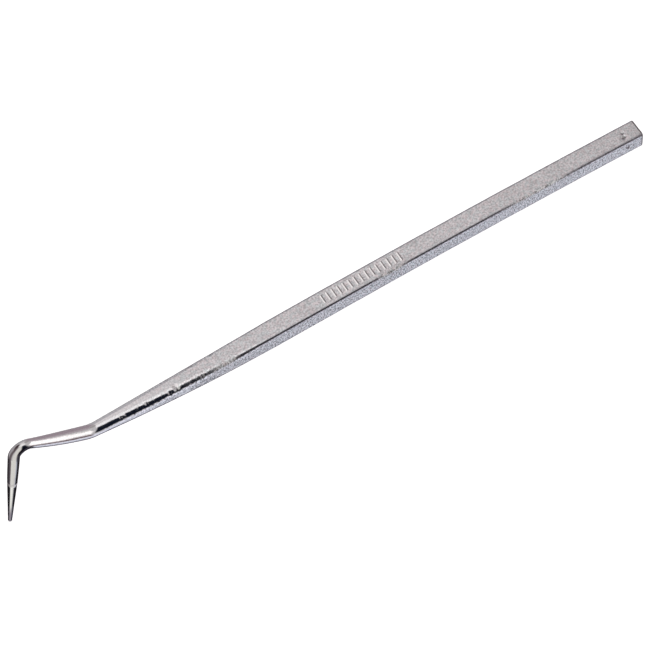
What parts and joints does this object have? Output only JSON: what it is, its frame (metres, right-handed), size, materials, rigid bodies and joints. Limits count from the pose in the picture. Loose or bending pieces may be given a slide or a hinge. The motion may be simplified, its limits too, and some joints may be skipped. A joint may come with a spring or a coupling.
{
  "type": "bent scriber",
  "caption": "Bent scriber: a square steel bar drawn out to a round, hooked neck, with a hard point brazed into its end.",
  "frame": {"origin": "centre of the flat butt face, on the axis of the square bar", "axes": "+X out of the butt face, so the bar runs towards -X; +Z out of the marked top face; the hook lies in the XZ plane and its point faces -Z; +Y across the bar"},
  "size_m": [0.1741, 0.005, 0.0303],
  "materials": {
    "plated_steel": "satin bright plate over forged steel, smoother and glossier on the round neck",
    "hard_metal": "ground and polished hard metal with fine rings round the cone",
    "braze": "pale silver braze, wiped smooth"
  },
  "bodies": {
    "root": {"scriber_body": "plated_steel", "hard_point": "hard_metal", "braze_ring": "braze"}
  },
  "joints": []
}
